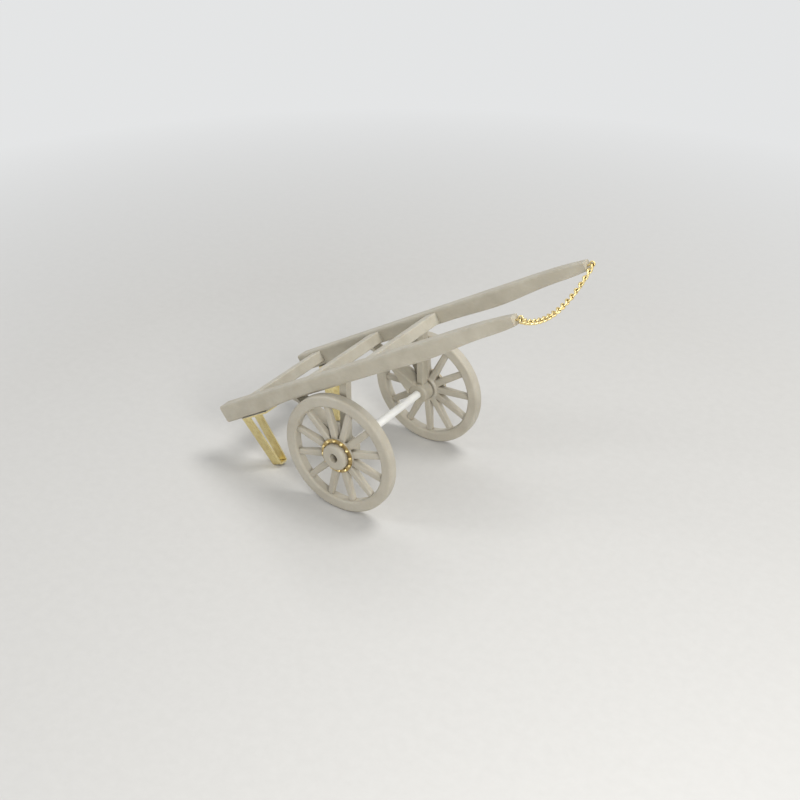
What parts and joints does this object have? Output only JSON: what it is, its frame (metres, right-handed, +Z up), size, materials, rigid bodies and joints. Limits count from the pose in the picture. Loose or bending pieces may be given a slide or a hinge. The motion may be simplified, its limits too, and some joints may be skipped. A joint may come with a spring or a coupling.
{
  "type": "miniature pony cart",
  "caption": "Miniature two-wheeled cart with long shafts joined by crossbars, spoked wheels on a rod axle, folded prop legs and a chain hung between the shaft tips.",
  "frame": {"origin": "on the floor, under the middle of the cart's overall length and width", "axes": "+X along the cart towards the raised shaft tips and the chain, +Y across the cart towards the far wheel, +Z up"},
  "size_m": [0.0658, 0.0346, 0.0496],
  "materials": {
    "resin": "matte",
    "brass_sheet": "satin",
    "brass_wire": "satin",
    "white_rod": "satin"
  },
  "bodies": {
    "frame": {"shaft_near": "resin", "shaft_far": "resin", "crossbar_rear": "resin", "crossbar_middle": "resin", "crossbar_front": "resin", "axle_bracket_near": "resin", "axle_bracket_far": "resin", "axle_rod": "white_rod", "leg_near": "brass_sheet", "leg_far": "brass_sheet", "tip_eye_near": "brass_wire", "tip_eye_far": "brass_wire"},
    "near_wheel": {"wheel_near": "resin", "hub_rivet_ring_near": "brass_sheet"},
    "far_wheel": {"wheel_far": "resin", "hub_rivet_ring_far": "brass_sheet"},
    "chain": {"chain_link_01": "brass_wire", "chain_link_02": "brass_wire", "chain_link_03": "brass_wire", "chain_link_04": "brass_wire", "chain_link_05": "brass_wire", "chain_link_06": "brass_wire", "chain_link_07": "brass_wire", "chain_link_08": "brass_wire", "chain_link_09": "brass_wire", "chain_link_10": "brass_wire", "chain_link_11": "brass_wire", "chain_link_12": "brass_wire", "chain_link_13": "brass_wire", "chain_link_14": "brass_wire", "chain_link_15": "brass_wire", "chain_link_16": "brass_wire", "chain_link_17": "brass_wire"}
  },
  "joints": [
    {"name": "wheel_near_spin", "type": "hinge", "parent": "frame", "child": "near_wheel", "pos_m": [-0.00285, -0.0149, 0.012], "axis": [0, 1, 0], "continuous": true},
    {"name": "wheel_far_spin", "type": "hinge", "parent": "frame", "child": "far_wheel", "pos_m": [-0.00285, 0.0149, 0.012], "axis": [0, 1, 0], "continuous": true},
    {"name": "chain_swing", "type": "hinge", "parent": "frame", "child": "chain", "pos_m": [0.03228, 0, 0.04907], "axis": [0, 1, 0], "range_deg": [-110, 5]}
  ]
}
